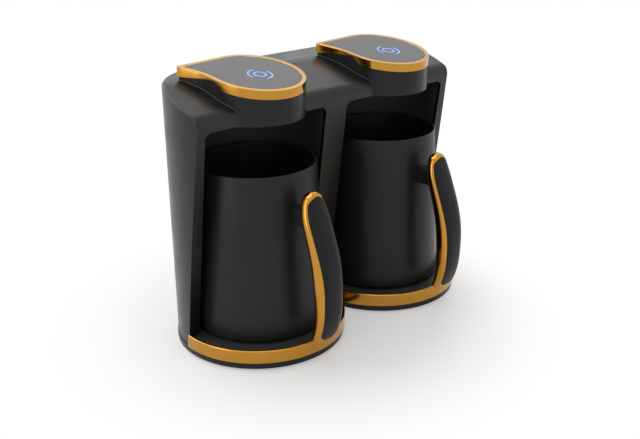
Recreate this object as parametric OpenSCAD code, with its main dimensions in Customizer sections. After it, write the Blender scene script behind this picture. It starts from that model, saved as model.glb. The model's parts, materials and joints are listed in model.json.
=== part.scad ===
// Twin electric Turkish coffee maker: one moulded casing with two heated bays,
// a touch head over each bay, and a lift-out pot with a bowed handle in each.
// Millimetres. +Z is up and -Y is the front, where the handles point. The origin
// is on the table, at the middle of the footprint with both handles counted in.

/* [Casing] */
// Distance between the two station axes
pitch = 125; // [125:1:140]
// Radius of the rounded ends, which is half the casing's depth
casing_r = 60.8; // [58.8:0.1:61]
// Height of the flat top above the table
top_z = 188; // [184:1:200]
// Thickness of the moulded wall
casing_wall = 2.8; // [2:0.1:3.2]
// Where the leaning front face would meet the table, behind the station axis
face_foot = 6.6; // [4:0.2:9]
// Forward lean of the front face, in degrees
face_lean = 7.9; // [5:0.1:9]
// Fall of the roof towards the front, in degrees
roof_fall = 18.5; // [14:0.5:21]
// Where the falling roof meets the flat top, behind the station axis
roof_break = 28; // [24:1:34]
// Radius of the shoulder between the roof and the front face
shoulder_r = 9; // [6:0.5:12]
// Radius of the long edge at the back of the top
back_edge_r = 3.5; // [3.4:0.1:6]

/* [Base] */
// Height of the rubber feet that show below the tray
foot_show = 1; // [0.6:0.1:2]
// Radius of a rubber foot
foot_r = 6; // [4:0.5:8]
// Distance of a foot from its station axis, along each axis
foot_spread = 35; // [30:1:37]
// Thickness of the tray's floor
tray_floor = 2; // [1.6:0.1:2.6]
// Height of the tray's rim above its floor
tray_rim = 2.5; // [2:0.1:3.5]
// How far the tray stands out from the casing
tray_step = 0.6; // [0.3:0.1:0.9]
// Height of the bright band round each lobe
band_h = 9.5; // [8:0.5:12]
// Radial thickness of the band
band_t = 2.4; // [1.6:0.1:2.6]
// How far the band stands out from the casing
band_step = 1.4; // [0.8:0.1:1.4]
// How far the band's lip stands above the deck
band_lip = 2.6; // [2:0.1:3]

/* [Bay] */
// Height of the bay's ceiling above the table
bay_top = 162; // [160:0.5:166]
// Gap between the pot's foot and the bay's wall
bay_gap = 4; // [3:0.1:4.2]
// Corner radius of the bay's mouth
mouth_r = 5.5; // [3:0.5:8]
// Thickness of the bay liner
liner_wall = 2; // [1.6:0.1:2.2]
// Thickness of the deck round the heating plate
deck_t = 1.5; // [1.2:0.1:2]

/* [Heater] */
// Radius of the heating plate
plate_r = 40; // [34:1:42]
// Width of the silicone seal round the plate
seal_w = 1.2; // [0.8:0.1:2]
// Radius of the heating element's ring
element_r = 28; // [22:1:32]
// Radius of the element's tube
element_tube = 2.6; // [2:0.1:2.8]

/* [Head] */
// Radius of the drop-shaped head
head_r = 34; // [32:0.5:35]
// Head centre to the right of the station axis
head_x = 3; // [0:0.5:4]
// Head centre behind the station axis
head_y = 1; // [-1:0.5:2]
// Distance from the head's centre to the tip of the drop
tip_reach = 53; // [48:0.5:54]
// Direction of the tip, in degrees from +X
tip_angle = 145; // [138:1:150]
// Height of the panel over the flat top, measured at the station axis
panel_rise = 3.5; // [2.5:0.5:6]
// Tilt of the panel towards the front, in degrees
panel_tilt = 10.4; // [6:0.2:12]
// Rounding of the tip of the drop
tip_round = 1.5; // [0.8:0.1:3]
// Width of the bright rim seen from above
rim_w = 3.2; // [2.4:0.1:4]
// Height of the rim's skirt at the front
skirt_h = 6; // [5:0.2:7]
// Thickness of the rim's skirt
skirt_t = 1.4; // [1:0.1:1.6]
// Thickness of the touch glass
glass_t = 2; // [1.8:0.1:2.6]
// Wall of the head shell
head_wall = 2.4; // [1.8:0.1:3]
// Radius of the lit ring on the glass
icon_ring_r = 4.2; // [3:0.2:5]
// Radius of the lit arcs round that ring
icon_arc_r = 8.3; // [7:0.2:10]
// Line width of the lit ring and arcs
icon_line = 0.9; // [0.6:0.1:1.4]

/* [Pot] */
// Radius of the pot at its foot
pot_foot_r = 48.4; // [46:0.2:49]
// Radius of the pot at its rim
pot_rim_r = 42.1; // [38:0.5:45]
// Height of the pot
pot_h = 118.6; // [112:0.5:124]
// Thickness of the pot's wall
pot_wall = 1.4; // [1:0.1:2]
// Rounding between the pot's foot and its side
pot_foot_round = 3; // [2:0.5:4]
// Thickness of the contact disc under the pot
pot_disc_t = 2.5; // [2:0.1:3.5]
// Gap kept between the pot and the heating plate
pot_seat_gap = 0.2; // [0.1:0.05:0.3]

/* [Handle] */
// Station axis to the handle's middle where it bows out furthest
grip_reach = 73.2; // [71:0.2:78]
// Height of that furthest point above the pot's foot
belly_h = 33.2; // [30:0.2:45]
// Height of the handle's top above the pot's foot
grip_top_h = 109.5; // [106:0.5:112]
// Height of the handle's lower end above the pot's foot
grip_low_h = 4.6; // [3:0.2:8]
// How far the handle's top leans back to the pot
top_lean = 15.5; // [12:0.5:17]
// How far the handle's lower end comes back to the pot
low_lean = 6; // [4:0.5:8]
// Width of the handle
grip_w = 21.6; // [18:0.2:25]
// Greatest thickness of the handle from front to back
grip_t = 14; // [10:0.2:15]
// Share of the handle's width that the dark cover takes
cover_share = 0.72; // [0.6:0.01:0.85]
// Height of the neck above the pot's foot
neck_h = 90; // [84:1:94]
// Depth of the neck from top to bottom
neck_depth = 12; // [10:0.5:14]
// Width of the neck
neck_w = 11; // [9:0.5:13]
// Radius of the stud inside the neck
stud_r = 2.5; // [2:0.1:3]

/* [Electrics] */
// Width of the power board
board_w = 56; // [50:1:64]
// Height of the power board
board_h = 96; // [86:1:105]
// Thickness of every circuit board
pcb_t = 1.6; // [1:0.1:2]
// Radius of a wiring loom
loom_r = 1.6; // [1.2:0.1:2]
// Radius of the hole that the mains cord passes through
cord_hole_r = 3.6; // [3:0.1:4]
// Height of the cord gland above the table
gland_z = 16; // [15:1:24]

/* [Hidden] */
$fn = 96;

// Fits
slip = 0.1;          // gap between pieces that are pushed together
clear = 0.15;        // gap round a piece that passes through an opening
eps = 1;             // overlap of a cutting shape past the face it cuts

// Heights that follow from the driving sizes
tray_z = foot_show;
tray_top = tray_z + tray_floor;
base_z = tray_top + tray_rim;
band_top = base_z + band_h;
deck_z = band_top - band_lip;
plate_z = deck_z + 0.1;
pot_z = plate_z + pot_seat_gap;
pot_rim_z = pot_z + pot_h;

// Radii that follow
bay_r = pot_foot_r + bay_gap;
tray_r = casing_r + tray_step;
band_r = casing_r + band_step;
deck_r = band_r - band_t - slip;
inner_r = casing_r - casing_wall;

// The footprint runs from the front of the handles to the flange at the back
gland_flange = 1.6;
station_y = (grip_reach + grip_t / 2 - casing_r - gland_flange) / 2;

// --- Shared geometry ---------------------------------------------------------

function unit(v) = v / norm(v);
function dir(a) = [cos(a), sin(a)];

// Points of an arc of radius r that rounds the corner b of the path a, b, c
function corner(a, b, c, r, steps = 8) =
  let (u = unit(a - b), v = unit(c - b), half = acos(u * v) / 2,
       mid = b + unit(u + v) * r / sin(half),
       p = b + u * r / tan(half) - mid, q = b + v * r / tan(half) - mid,
       from = atan2(p[1], p[0]), turn = atan2(q[1], q[0]) - from,
       sweep = turn > 180 ? turn - 360 : turn < -180 ? turn + 360 : turn)
  [for (i = [0:steps]) mid + r * dir(from + sweep * i / steps)];

// Corner b of the path a, b, c, moved inwards by d along both of its sides
function inset(a, b, c, d) =
  let (u = unit(a - b), v = unit(c - b))
  b + unit(u + v) * d / sin(acos(u * v) / 2);

// The front face, as a distance behind the station axis at a height
function face(z) = face_foot - tan(face_lean) * z;

// Corners of the casing's side view, as [y, z]
roof_tan = tan(roof_fall);
face_tan = tan(face_lean);
shoulder_z = (top_z - roof_tan * (roof_break - face_foot)) / (1 + roof_tan * face_tan);
side_corners = [[face(base_z), base_z], [face(shoulder_z), shoulder_z],
  [roof_break, top_z], [casing_r, top_z], [casing_r, base_z]];

// Side view set in by d, with its corners rounded
function side_view(d, low) =
  let (c = side_corners, s = inset(c[0], c[1], c[2], d), b = inset(c[1], c[2], c[3], d),
       e = inset(c[2], c[3], c[4], d), f = [face(low) + d / cos(face_lean), low],
       g = [casing_r - d, low])
  concat([f], corner(f, s, b, shoulder_r - d),
    corner(s, b, e, 30 - d, 6), corner(b, e, g, back_edge_r - d, 5), [g]);

// A side view in the YZ plane, as a prism of width w centred on x = 0
module along_x(points, w) {
  translate([-w / 2, 0, 0]) rotate([90, 0, 90]) linear_extrude(w) polygon(points);
}

module at_station(side) {
  translate([side * pitch / 2, station_y, 0]) children();
}

module at_middle() {
  translate([0, station_y, 0]) children();
}

// The rounded-end plan of the casing
module end_rounds(r) {
  for (side = [-1, 1]) translate([side * pitch / 2, 0]) circle(r);
  translate([-pitch / 2, -r]) square([pitch, 2 * r]);
}

module casing_solid(d, low) {
  wide = pitch + 2 * casing_r + 2 * eps;
  intersection() {
    translate([0, 0, low]) linear_extrude(top_z) end_rounds(casing_r - d);
    along_x(side_view(d, low), wide);
  }
}

// Everything past the machine's middle plane, seen from a station
module past_middle(side) {
  big = 3 * casing_r;
  translate([side < 0 ? pitch / 2 - slip : slip - pitch / 2 - big, -big, -eps]) cube([big, 2 * big, top_z]);
}

// Everything in front of the leaning face, set forward by d
module before_face(d, low, high) {
  front = -casing_r * 2;
  along_x([[front, low], [face(low) - d, low], [face(high) - d, high], [front, high]],
    4 * casing_r);
}

// --- Casing and base -----------------------------------------------------------

// Mouth of a bay, cut through the front wall
module bay_mouth() {
  depth = casing_r;
  translate([0, face(0) + casing_wall + eps, 0]) rotate([90, 0, 0])
    linear_extrude(depth) {
      translate([-bay_r, 0]) square([2 * bay_r, bay_top - mouth_r]);
      translate([-bay_r + mouth_r, 0]) square([2 * (bay_r - mouth_r), bay_top]);
      for (s = [-1, 1]) translate([s * (bay_r - mouth_r), bay_top - mouth_r]) circle(mouth_r);
    }
}

gland_r = cord_hole_r + 2.4;
gland_edge = 3;      // how far the gland's two flanges reach past its neck

module casing() {
  color([0.05, 0.05, 0.055]) at_middle() difference() {
    casing_solid(0, base_z);
    casing_solid(casing_wall, base_z - eps);
    for (side = [-1, 1]) translate([side * pitch / 2, 0, 0]) {
      bay_mouth();
      translate([0, 0, bay_top - eps]) head_prism(head_r - shell_step + clear, top_z);
    }
    translate([-gland_r - slip, casing_r - casing_wall - eps, base_z - eps])
      cube([2 * (gland_r + slip), casing_wall + 2 * eps, eps + gland_z - base_z + gland_r + slip]);
  }
}

// Plan of the tray: two lobes joined behind the front face
module tray_plan(d) {
  x = pitch / 2;
  front = face(base_z) - tray_step + d;
  back = tray_r - d;
  for (side = [-1, 1]) translate([side * x, 0]) circle(back);
  polygon([[-x, front], [x, front], [x, back], [-x, back]]);
}

screw_r = 1.4;
screw_play = 0.08;   // gap round a screw's shank in its boss
screw_head_r = 2.8;
boss_r = 3.4;
boss_at = bay_r - boss_r - 3;
vent_w = 2.4;
vent_step = 6;
vent_count = 5;

module base_screw_places() {
  for (side = [-1, 1], a = [60, 150, 240, 330])
    translate([side * pitch / 2, 0, 0] + boss_at * [cos(a), sin(a), 0]) children();
}

module foot_places() {
  for (side = [-1, 1], sx = [-1, 1], sy = [-1, 1])
    translate([side * pitch / 2 + sx * foot_spread, sy * foot_spread, 0]) children();
}

module base_tray() {
  rim_wall = tray_step + casing_wall * 0.7;
  color([0.07, 0.07, 0.075]) at_middle() difference() {
    translate([0, 0, tray_z]) linear_extrude(base_z - tray_z) tray_plan(0);
    translate([0, 0, tray_top]) linear_extrude(base_z) tray_plan(rim_wall);
    foot_places() translate([0, 0, tray_z - eps]) cylinder(r = foot_r, h = eps + foot_pocket);
    base_screw_places() {
      translate([0, 0, tray_z - eps]) cylinder(r = screw_r + slip, h = tray_floor + 2 * eps);
      translate([0, 0, tray_z - eps]) cylinder(r = screw_head_r + slip, h = eps + 1);
    }
    for (i = [0:vent_count - 1])
      translate([(i - (vent_count - 1) / 2) * vent_step - vent_w / 2, casing_r / 2, tray_z - eps])
        cube([vent_w, casing_r / 3, tray_floor + 2 * eps]);
  }
}

foot_pocket = 0.8;

module feet() {
  color([0.04, 0.04, 0.04]) at_middle() foot_places()
    cylinder(r = foot_r - slip / 2, h = foot_show + foot_pocket);
}

module base_screws() {
  color([0.6, 0.6, 0.62]) at_middle() base_screw_places() translate([0, 0, tray_z]) {
    cylinder(r = screw_head_r, h = 1);
    cylinder(r = screw_r, h = deck_z - deck_t - tray_z - 1);
  }
}

// Plan of a flange: round above the cord, and down to the casing's lower edge
module flange_plan() {
  r = gland_r + gland_edge;
  low = base_z + slip - gland_z;
  circle(r);
  translate([-r + 0.03, low]) square([2 * (r - 0.03), -low]);
}

// Gland that slides up into the notch, with a flange on each side of the wall
module cord_gland() {
  length = casing_wall + 7;
  low = base_z + slip - gland_z;
  color([0.06, 0.06, 0.06]) at_middle()
    translate([0, casing_r + gland_flange, gland_z]) rotate([90, 0, 0]) difference() {
      union() {
        cylinder(r = gland_r, h = gland_flange + length);
        linear_extrude(gland_flange) flange_plan();
        translate([-gland_r, low, gland_flange / 2])
          cube([2 * gland_r, gland_r - low, gland_flange / 2 + casing_wall + slip + eps]);
        translate([0, 0, gland_flange + casing_wall + slip]) linear_extrude(2) flange_plan();
      }
      translate([0, 0, -eps]) cylinder(r = cord_hole_r, h = gland_flange + length + 2 * eps);
    }
}

// --- Bay: deck, band, heater, liner --------------------------------------------

// Deck and its skirt inside the band. Its back half lies inside the liner.
module deck(side) {
  liner_slip = bay_r - slip;
  plate_hole = plate_r + seal_w;
  color([0.09, 0.09, 0.09]) difference() {
    union() {
      intersection() {
        translate([0, 0, deck_z - deck_t]) cylinder(r = deck_r, h = deck_t);
        before_face(slip, base_z - eps, band_top);
      }
      translate([0, 0, deck_z - deck_t]) cylinder(r = liner_slip, h = deck_t);
      intersection() {
        difference() {
          translate([0, 0, base_z]) cylinder(r = deck_r, h = deck_z - base_z);
          translate([0, 0, base_z - eps]) cylinder(r = deck_r - 2, h = deck_z);
        }
        before_face(slip, base_z - eps, band_top);
      }
      for (a = [60, 150, 240, 330]) translate([boss_at * cos(a), boss_at * sin(a), tray_top])
        cylinder(r = boss_r, h = deck_z - deck_t / 2 - tray_top);
    }
    past_middle(side);
    translate([0, 0, deck_z - deck_t - eps]) cylinder(r = plate_hole, h = deck_t + 2 * eps);
    for (a = [60, 150, 240, 330]) translate([boss_at * cos(a), boss_at * sin(a), tray_top - eps])
      cylinder(r = screw_r + screw_play, h = deck_z - deck_t - tray_top + eps + 0.2);
  }
}

// Bright band round the front of a lobe, with a softened lip
module base_band(side) {
  round_r = 0.9;
  ring = concat([[band_r - band_t, base_z], [band_r, base_z]],
    corner([band_r, base_z], [band_r, band_top], [band_r - band_t, band_top], round_r, 5),
    corner([band_r, band_top], [band_r - band_t, band_top], [band_r - band_t, base_z], round_r, 5));
  color([0.83, 0.6, 0.22]) difference() {
    intersection() {
      rotate_extrude() polygon(ring);
      before_face(slip, base_z - eps, band_top + eps);
    }
    past_middle(side);
  }
}

flange_w = 1.6;
flange_t = 1.4;

// Plate with a flange that is held up against the deck
module heating_plate() {
  color([0.45, 0.45, 0.46]) {
    translate([0, 0, deck_z - deck_t]) cylinder(r = plate_r, h = plate_z - deck_z + deck_t);
    translate([0, 0, deck_z - deck_t - flange_t])
      cylinder(r = plate_r + seal_w + flange_w, h = flange_t);
  }
}

module plate_seal() {
  color([0.12, 0.12, 0.12]) translate([0, 0, deck_z - deck_t]) difference() {
    cylinder(r = plate_r + seal_w, h = deck_t);
    translate([0, 0, -eps]) cylinder(r = plate_r, h = deck_t + 2 * eps);
  }
}

plate_under = deck_z - deck_t - flange_t;
element_z = plate_under - element_tube;
element_gap = 70;

// Direction in which the wires reach a station's axis from the middle of the machine
wires_from = 40;
function wires_at(side) = side < 0 ? wires_from : 180 - wires_from;

// Ring element under the plate, open towards the wires, with a pin at each end
module heating_element(side) {
  open_at = wires_at(side);
  color([0.3, 0.3, 0.31]) {
    rotate([0, 0, open_at + element_gap / 2]) translate([0, 0, element_z])
      rotate_extrude(angle = 360 - element_gap) translate([element_r, 0]) circle(element_tube, $fn = 24);
    for (a = [open_at - element_gap / 2, open_at + element_gap / 2])
      rotate([0, 0, a]) translate([element_r, 0, element_z])
        rotate([a > open_at ? 90 : -90, 0, 0]) cylinder(r = pin_r, h = pin_l, $fn = 24);
  }
}

pin_r = 1;
pin_l = 6;
sensor_r = 4.5;

module temperature_sensor() {
  color([0.55, 0.45, 0.3]) {
    translate([0, 0, element_z - 1]) cylinder(r = sensor_r, h = plate_under - element_z + 1);
    translate([0, 0, tray_top]) cylinder(r = sensor_r / 2, h = element_z - 1 - tray_top);
  }
}

fuse_r = 1.8;
fuse_l = 14;

module thermal_fuse() {
  color([0.8, 0.78, 0.7]) translate([-fuse_l / 2, -element_r / 2, plate_under - fuse_r])
    rotate([0, 90, 0]) {
      cylinder(r = fuse_r, h = fuse_l, $fn = 32);
      translate([0, 0, -4]) cylinder(r = 0.5, h = fuse_l + 8, $fn = 24);
    }
}

loom_notch = 9;

// Round-backed bay wall with a ceiling, open to the front
module bay_liner(side) {
  outer_r = bay_r + liner_wall;
  ceiling = bay_top + liner_wall;
  low = tray_top;
  notch_at = wires_at(side);
  color([0.03, 0.03, 0.03]) difference() {
    intersection() {
      translate([0, 0, low]) linear_extrude(ceiling - low) {
        circle(outer_r);
        translate([-outer_r, -outer_r]) square([2 * outer_r, outer_r]);
      }
      along_x([[face(low) + wall_run, low], [face(ceiling) + wall_run, ceiling],
        [casing_r, ceiling], [casing_r, low]], 2 * casing_r);
    }
    translate([0, 0, low - eps]) linear_extrude(bay_top - low + eps) {
      circle(bay_r);
      translate([-bay_r, -casing_r]) square([2 * bay_r, casing_r]);
    }
    translate([0, 0, bay_top - eps]) head_prism(head_r - shell_step + clear, top_z);
    rotate([0, 0, notch_at]) translate([0, -loom_notch / 2, low - eps])
      cube([casing_r, loom_notch, deck_z - deck_t - low]);
  }
}

// Run of the front wall along Y, with a slip gap behind it
wall_run = casing_wall / cos(face_lean) + slip;

// --- Head ------------------------------------------------------------------------

shell_step = 0.6;
flange_top = 1.2;
ledge_w = 2.4;
ledge_t = 1.4;
skirt_rise = 2.1;
skirt_bend = [-7.6, 3.2];
panel_run = tan(panel_tilt);
panel_z0 = top_z + panel_rise;

// Height of the panel's surface, less a depth below it, at a distance y
function panel(y, depth = 0) = panel_z0 + panel_run * y - depth / cos(panel_tilt);

// Lower edge of the rim's skirt: it follows the panel in front and clears the flat top behind
function skirt_low(y) =
  let (t = max(0, min(1, (y - skirt_bend[0]) / (skirt_bend[1] - skirt_bend[0]))), s = t * t * (3 - 2 * t))
  (1 - s) * panel(y, skirt_h) + s * (top_z + skirt_rise);

// Drop outline: a circle with two tangents that meet at a rounded tip, scaled by its radius.
// The tangents start a hair inside the circle, so that they cross it in a clear point.
module drop(r) {
  open = acos(head_r / tip_reach);
  a = (r - 0.03) * dir(tip_angle - open);
  b = (r - 0.03) * dir(tip_angle + open);
  circle(r);
  polygon(concat([[0, 0], a],
    corner(a, tip_reach * r / head_r * dir(tip_angle), b, tip_round, 5), [b]));
}

module head_prism(r, h) {
  translate([head_x, head_y, 0]) linear_extrude(h) drop(r);
}

head_span = 2 * tip_reach;

// Everything under the panel's surface, less a depth
module under_panel(depth) {
  along_x([[-head_span, bay_top], [head_span, bay_top],
    [head_span, panel(head_span, depth)], [-head_span, panel(-head_span, depth)]], 2 * head_span);
}

module under_skirt() {
  steps = 10;
  edge = [for (i = [0:steps]) let (y = skirt_bend[0] + (skirt_bend[1] - skirt_bend[0]) * i / steps)
    [y, skirt_low(y)]];
  along_x(concat([[head_span, bay_top], [-head_span, bay_top], [-head_span, panel(-head_span, skirt_h)]],
    edge, [[head_span, top_z + skirt_rise]]), 2 * head_span);
}

// The screw heads stay inside the shell's wall, with the cover's edge round them
module head_screw_places() {
  reach = head_r - shell_step - head_wall - slip - screw_head_r - cover_edge;
  for (a = [20, 88, 200, 270])
    translate([head_x, head_y, 0] + reach * [cos(a), sin(a), 0]) children();
}

cover_edge = 0.5;
head_boss_r = screw_head_r + cover_edge + slip + 0.6;
head_boss_h = 14;
cover_t = 2.2;
head_flange_w = 2.6;
head_flange_t = 1.6;

// Head housing: a drop-shaped tube that stands in the casing's opening on its flange
module head_shell() {
  outer = head_r - shell_step;
  hollow = outer - head_wall;
  color([0.05, 0.05, 0.055]) difference() {
    union() {
      intersection() {
        head_prism(outer, 2 * top_z);
        under_skirt();
      }
      intersection() {
        head_prism(head_r - skirt_t - slip, 2 * top_z);
        under_panel(flange_top + slip);
      }
      intersection() {
        translate([0, 0, bay_top + liner_wall])
          head_prism(outer + head_flange_w, head_flange_t);
        translate([0, 0, bay_top]) along_x([[face(bay_top) + wall_run, 0],
          [face(bay_top) + wall_run, head_span], [inner_r, head_span], [inner_r, 0]], head_span * 2);
      }
    }
    difference() {
      intersection() {
        translate([0, 0, bay_top - eps]) head_prism(hollow, 2 * top_z);
        translate([0, 0, -eps]) under_panel(glass_t + ledge_t - eps);
      }
      head_screw_places() translate([0, 0, bay_top + cover_t])
        cylinder(r = head_boss_r, h = head_boss_h);
    }
    translate([0, 0, bay_top - eps]) head_prism(hollow, cover_t + eps);
    translate([0, 0, bay_top + head_boss_h + 2 * cover_t]) head_prism(hollow - ledge_w, 2 * top_z);
    difference() {
      translate([0, 0, bay_top + head_boss_h]) head_prism(head_r - rim_w, 2 * top_z);
      under_panel(glass_t);
    }
    head_screw_places() translate([0, 0, bay_top + cover_t - eps])
      cylinder(r = screw_r + screw_play, h = head_boss_h - 2 + eps);
    translate([head_x, head_y, loom_z]) rotate([0, 0, 55]) rotate([0, 90, 0])
      cylinder(r = loom_r + slip, h = head_r + 2 * head_flange_w);
  }
}

foam_lens_r = 5;

module head_cover() {
  color([0.06, 0.06, 0.06]) difference() {
    translate([0, 0, bay_top]) head_prism(head_r - shell_step - head_wall - slip, cover_t);
    translate([0, 0, bay_top - eps]) cylinder(r = foam_lens_r + slip, h = cover_t + 2 * eps);
    head_screw_places() translate([0, 0, bay_top - eps]) {
      cylinder(r = screw_r + slip, h = cover_t + 2 * eps);
      cylinder(r = screw_head_r + slip, h = eps + 1);
    }
  }
}

// Lens and body of the sensor that watches the foam rise in the pot
module foam_sensor() {
  color([0.15, 0.16, 0.18]) {
    translate([0, 0, bay_top]) cylinder(r = foam_lens_r, h = cover_t);
    translate([0, 0, bay_top + cover_t]) cylinder(r = foam_lens_r + 2.5, h = 6);
  }
}

module head_screws() {
  color([0.6, 0.6, 0.62]) for (side = [-1, 1]) at_station(side) head_screw_places()
    translate([0, 0, bay_top]) {
      cylinder(r = screw_head_r, h = 1);
      cylinder(r = screw_r, h = cover_t + head_boss_h - 4);
    }
}

module head_rim() {
  color([0.83, 0.6, 0.22]) difference() {
    intersection() {
      head_prism(head_r, 2 * top_z);
      under_panel(0);
    }
    intersection() {
      head_prism(head_r + eps, 2 * top_z);
      under_skirt();
    }
    translate([0, 0, -eps]) intersection() {
      head_prism(head_r - skirt_t, 2 * top_z);
      translate([0, 0, eps]) under_panel(flange_top);
    }
    head_prism(head_r - rim_w, 2 * top_z);
    translate([0, 0, bay_top - top_z]) head_prism(head_r + eps, top_z);
  }
}

icon_y = -3.5;
icon_deep = 0.5;

// Lit touch mark in the plane of the panel: a ring and two arcs round it
module icon_shape() {
  arc_half = 55;
  translate([head_x, icon_y, panel(icon_y)]) rotate([panel_tilt, 0, 0]) translate([0, 0, -icon_deep]) {
    difference() {
      cylinder(r = icon_ring_r + icon_line / 2, h = icon_deep, $fn = 48);
      translate([0, 0, -eps]) cylinder(r = icon_ring_r - icon_line / 2, h = icon_deep + 2 * eps, $fn = 48);
    }
    for (a = [-38, 142]) rotate([0, 0, a - arc_half]) rotate_extrude(angle = 2 * arc_half)
      translate([icon_arc_r - icon_line / 2, 0]) square([icon_line, icon_deep]);
  }
}

module touch_glass() {
  color([0.1, 0.1, 0.12]) difference() {
    intersection() {
      head_prism(head_r - rim_w - slip, 2 * top_z);
      under_panel(0);
    }
    under_panel(glass_t);
    icon_shape();
  }
}

module touch_icon() {
  color([0.15, 0.5, 1]) icon_shape();
}

touch_board_depth = 6.5;

module touch_board() {
  color([0.1, 0.35, 0.2]) difference() {
    intersection() {
      head_prism(head_r - shell_step - head_wall - 4, 2 * top_z);
      under_panel(touch_board_depth);
    }
    under_panel(touch_board_depth + pcb_t);
  }
}

// --- Electrics in the back of the casing -----------------------------------------

board_z = gland_z + gland_r + gland_edge + 2;
board_back = inner_r - 1.4;
board_front = board_back - pcb_t;
relay_size = [16, 12, 20];
supply_size = [24, 15, 30];

module power_board() {
  color([0.1, 0.35, 0.2]) at_middle() difference() {
    translate([-board_w / 2, board_front, board_z]) cube([board_w, pcb_t, board_h]);
    for (sx = [-1, 1], sz = [0, 1])
      translate([sx * (board_w / 2 - 4), board_back + eps, board_z + 4 + sz * (board_h - 8)])
        rotate([90, 0, 0]) cylinder(r = 1.6, h = pcb_t + 2 * eps);
  }
}

module relays() {
  color([0.1, 0.15, 0.4]) at_middle() for (side = [-1, 1])
    translate([side * (relay_size[0] / 2 + 1) - relay_size[0] / 2, board_front - relay_size[1],
      board_z + 16]) cube(relay_size);
}

module supply_module() {
  color([0.15, 0.15, 0.16]) at_middle()
    translate([-supply_size[0] / 2, board_front - supply_size[1], board_z + board_h / 2])
      cube(supply_size);
}

// Round loom through a list of points, with a sleeve bead at each bend
module wire(points, r) {
  for (i = [0:len(points) - 2]) {
    a = points[i];
    b = points[i + 1];
    d = b - a;
    translate(a) rotate([0, acos(d[2] / norm(d)), atan2(d[1], d[0])])
      cylinder(r = r, h = norm(d), $fn = 24);
    if (i > 0) translate(a) sphere(1.25 * r, $fn = 24);
  }
}

// Wires from the power board, under the deck, to the gap in the element
module heater_loom(side) {
  down = [side * 18, board_front - loom_r, board_z + 6];
  low = tray_top + loom_r + 0.4;
  in_at = wires_at(side);
  gate = [side * pitch / 2, 0, 0] + (bay_r + liner_wall / 2) * [cos(in_at), sin(in_at), 0];
  ends = [side * pitch / 2, 0, 0] + (element_r + 6) * [cos(in_at), sin(in_at), 0];
  color([0.5, 0.1, 0.1]) at_middle()
    wire([down, [down[0], down[1], low], [gate[0], gate[1], low], [ends[0], ends[1], low]], loom_r);
}

loom_z = bay_top + head_boss_h - 5;

// Wires from the top of the power board to the touch board
module head_loom(side) {
  up = [side * 14, board_front - loom_r, board_z + board_h - 4];
  head = [side * pitch / 2 + head_x, head_y, loom_z];
  wall = head + (head_r + head_flange_w) * [cos(55), sin(55), 0];
  inside = head + (head_r / 2) * [cos(55), sin(55), 0];
  color([0.2, 0.2, 0.22]) at_middle()
    wire([up, [up[0], up[1], loom_z], wall, inside], loom_r);
}

// --- Pot ---------------------------------------------------------------------------

foot_lift = 0.5;
disc_r = pot_foot_r - pot_foot_round - pot_wall / 2;
pot_floor = pot_z + pot_disc_t;

// Radius of the pot's outside at a height
function pot_radius(z) =
  let (foot = pot_z + foot_lift + pot_foot_round)
  pot_foot_r + (pot_rim_r - pot_foot_r) * (z - foot) / (pot_rim_z - foot);

module pot_body() {
  foot = [pot_foot_r, pot_z + foot_lift];
  rim = [pot_rim_r, pot_rim_z];
  lip_r = pot_wall * 0.45;
  outside = concat([[disc_r + slip, foot[1]]],
    corner([disc_r, foot[1]], foot, rim, pot_foot_round, 6),
    corner(foot, rim, rim - [pot_wall, 0], lip_r, 4));
  in_foot = [pot_foot_r - pot_wall, pot_floor + pot_wall];
  in_rim = rim - [pot_wall, 0];
  inside = concat(corner(rim, in_rim, in_foot, lip_r, 4),
    corner(in_rim, in_foot, [0, in_foot[1]], pot_foot_round, 6), [[0, in_foot[1]]]);
  color([0.06, 0.06, 0.065]) rotate_extrude()
    polygon(concat(outside, inside, [[0, pot_floor], [disc_r + slip, pot_floor]]));
}

module pot_disc() {
  color([0.5, 0.5, 0.52]) translate([0, 0, pot_z]) cylinder(r = disc_r, h = pot_disc_t);
}

grip_top_z = pot_z + grip_top_h;
grip_low_z = pot_z + grip_low_h;
belly_z = pot_z + belly_h;
neck_z = pot_z + neck_h;

// The handle's middle line, as a distance in front of the station axis. Above the belly it
// leans back to the pot and ends upright.
function bow(z) = z > belly_z
  ? grip_reach - top_lean * (1 - cos(180 * pow((z - belly_z) / (grip_top_z - belly_z), 1.4))) / 2
  : grip_reach - low_lean * pow((belly_z - z) / (belly_z - grip_low_z), 2.4);

// Height of ring i of n, closer together towards the ends
function ring_z(i, n) = grip_low_z + (grip_top_z - grip_low_z) * (1 - cos(180 * i / n)) / 2;

// The handle's width tapers as an ellipse at the top, its thickness swells towards the
// middle, and both ends are rounded over.
taper_from = 0.79;
end_round = 3.5;
function along(z) = (z - grip_low_z) / (grip_top_z - grip_low_z);
function over(d) = sqrt(max(0, 1 - pow(1 - min(1, d / end_round), 2)));
function ends(z) = max(0.15, over(grip_top_z - z) * over(z - grip_low_z));
function half_w(z) = grip_w / 2 * (0.92 + 0.08 * min(1, along(z) / 0.4)) * (0.4 + 0.6 * ends(z))
  * sqrt(1 - pow(max(0, along(z) - taper_from) / (1.02 - taper_from), 2));
function half_t(z) = grip_t / 2 * (0.6 + 0.4 * sin(180 * along(z))) * ends(z);

// One point of the handle's rounded section, where 0 degrees is +X
function section(a, w, t) =
  let (c = cos(a), s = sin(a), p = 0.72)
  [w * sign(c) * pow(abs(c), p), t * sign(s) * pow(abs(s), p)];

// Joins rings of equal length into one closed solid
module skin(rings) {
  m = len(rings[0]);
  n = len(rings);
  sides = [for (j = [0:n - 2], i = [0:m - 1])
    [j * m + i, j * m + (i + 1) % m, (j + 1) * m + (i + 1) % m, (j + 1) * m + i]];
  ends = [[for (i = [m - 1:-1:0]) i], [for (i = [0:m - 1]) (n - 1) * m + i]];
  polyhedron([for (ring = rings) each ring], concat(ends, sides), convexity = 4);
}

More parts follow.
